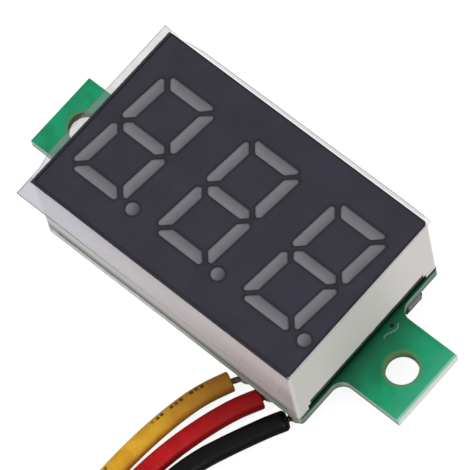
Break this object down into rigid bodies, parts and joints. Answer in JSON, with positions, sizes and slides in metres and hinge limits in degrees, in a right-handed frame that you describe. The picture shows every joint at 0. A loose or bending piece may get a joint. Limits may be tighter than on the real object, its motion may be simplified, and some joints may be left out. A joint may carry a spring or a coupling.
{
  "type": "digital panel meter",
  "caption": "Three-wire LED panel meter: digit block with a dark face on an eared circuit board, with stripped wire leads and a calibration trimmer.",
  "frame": {"origin": "middle of the two ear holes, on the circuit board's front face, under the middle of the display", "axes": "+X along the digits in reading order, +Y to the digits' tops, +Z out of the display's face"},
  "size_m": [0.0419, 0.0454, 0.0097],
  "materials": {
    "board_green": "satin",
    "housing_plastic": "satin",
    "face_coating": "matte",
    "diffuser_resin": "matte",
    "substrate_laminate": "matte",
    "led_die": "satin",
    "potting_epoxy": "satin",
    "pin_tin": "satin",
    "solder": "polished",
    "chip_epoxy": "matte",
    "lead_tin": "satin",
    "trimmer_ceramic": "matte",
    "trimmer_metal": "satin",
    "capacitor_ceramic": "satin",
    "resistor_film": "satin",
    "clear_film": "clear",
    "insulation_yellow": "satin",
    "insulation_red": "satin",
    "insulation_black": "satin",
    "tinned_strands": "satin",
    "tie_nylon": "satin"
  },
  "bodies": {
    "meter": {"circuit_board": "board_green", "display_housing": "housing_plastic", "face_coating": "face_coating", "digit_1_segment_a": "diffuser_resin", "digit_1_segment_b": "diffuser_resin", "digit_1_segment_c": "diffuser_resin", "digit_1_segment_d": "diffuser_resin", "digit_1_segment_e": "diffuser_resin", "digit_1_segment_f": "diffuser_resin", "digit_1_segment_g": "diffuser_resin", "digit_2_segment_a": "diffuser_resin", "digit_2_segment_b": "diffuser_resin", "digit_2_segment_c": "diffuser_resin", "digit_2_segment_d": "diffuser_resin", "digit_2_segment_e": "diffuser_resin", "digit_2_segment_f": "diffuser_resin", "digit_2_segment_g": "diffuser_resin", "digit_3_segment_a": "diffuser_resin", "digit_3_segment_b": "diffuser_resin", "digit_3_segment_c": "diffuser_resin", "digit_3_segment_d": "diffuser_resin", "digit_3_segment_e": "diffuser_resin", "digit_3_segment_f": "diffuser_resin", "digit_3_segment_g": "diffuser_resin", "digit_1_point": "diffuser_resin", "digit_2_point": "diffuser_resin", "digit_3_point": "diffuser_resin", "display_substrate": "substrate_laminate", "led_dice": "led_die", "potting": "potting_epoxy", "display_pins": "pin_tin", "pin_solder_joints": "solder", "wire_solder_joints": "solder", "microcontroller_body": "chip_epoxy", "regulator_body": "chip_epoxy", "diode_body": "chip_epoxy", "microcontroller_leads": "lead_tin", "regulator_leads": "lead_tin", "diode_leads": "lead_tin", "trimmer_terminals": "lead_tin", "chip_end_caps": "lead_tin", "trimmer_base": "trimmer_ceramic", "capacitors": "capacitor_ceramic", "resistors": "resistor_film", "protective_film": "clear_film", "yellow_wire": "insulation_yellow", "yellow_wire_coil": "insulation_yellow", "red_wire": "insulation_red", "red_wire_coil": "insulation_red", "black_wire": "insulation_black", "black_wire_coil": "insulation_black", "yellow_wire_strands": "tinned_strands", "yellow_wire_tip": "tinned_strands", "red_wire_strands": "tinned_strands", "red_wire_tip": "tinned_strands", "black_wire_strands": "tinned_strands", "black_wire_tip": "tinned_strands", "coil_tie": "tie_nylon"},
    "rotor": {"trimmer_rotor": "trimmer_metal"}
  },
  "joints": [
    {"name": "trimmer_turn", "type": "hinge", "parent": "meter", "child": "rotor", "pos_m": [-0.0089, 0, -0.0016], "axis": [0, 0, -1], "range_deg": [-120, 120]}
  ]
}
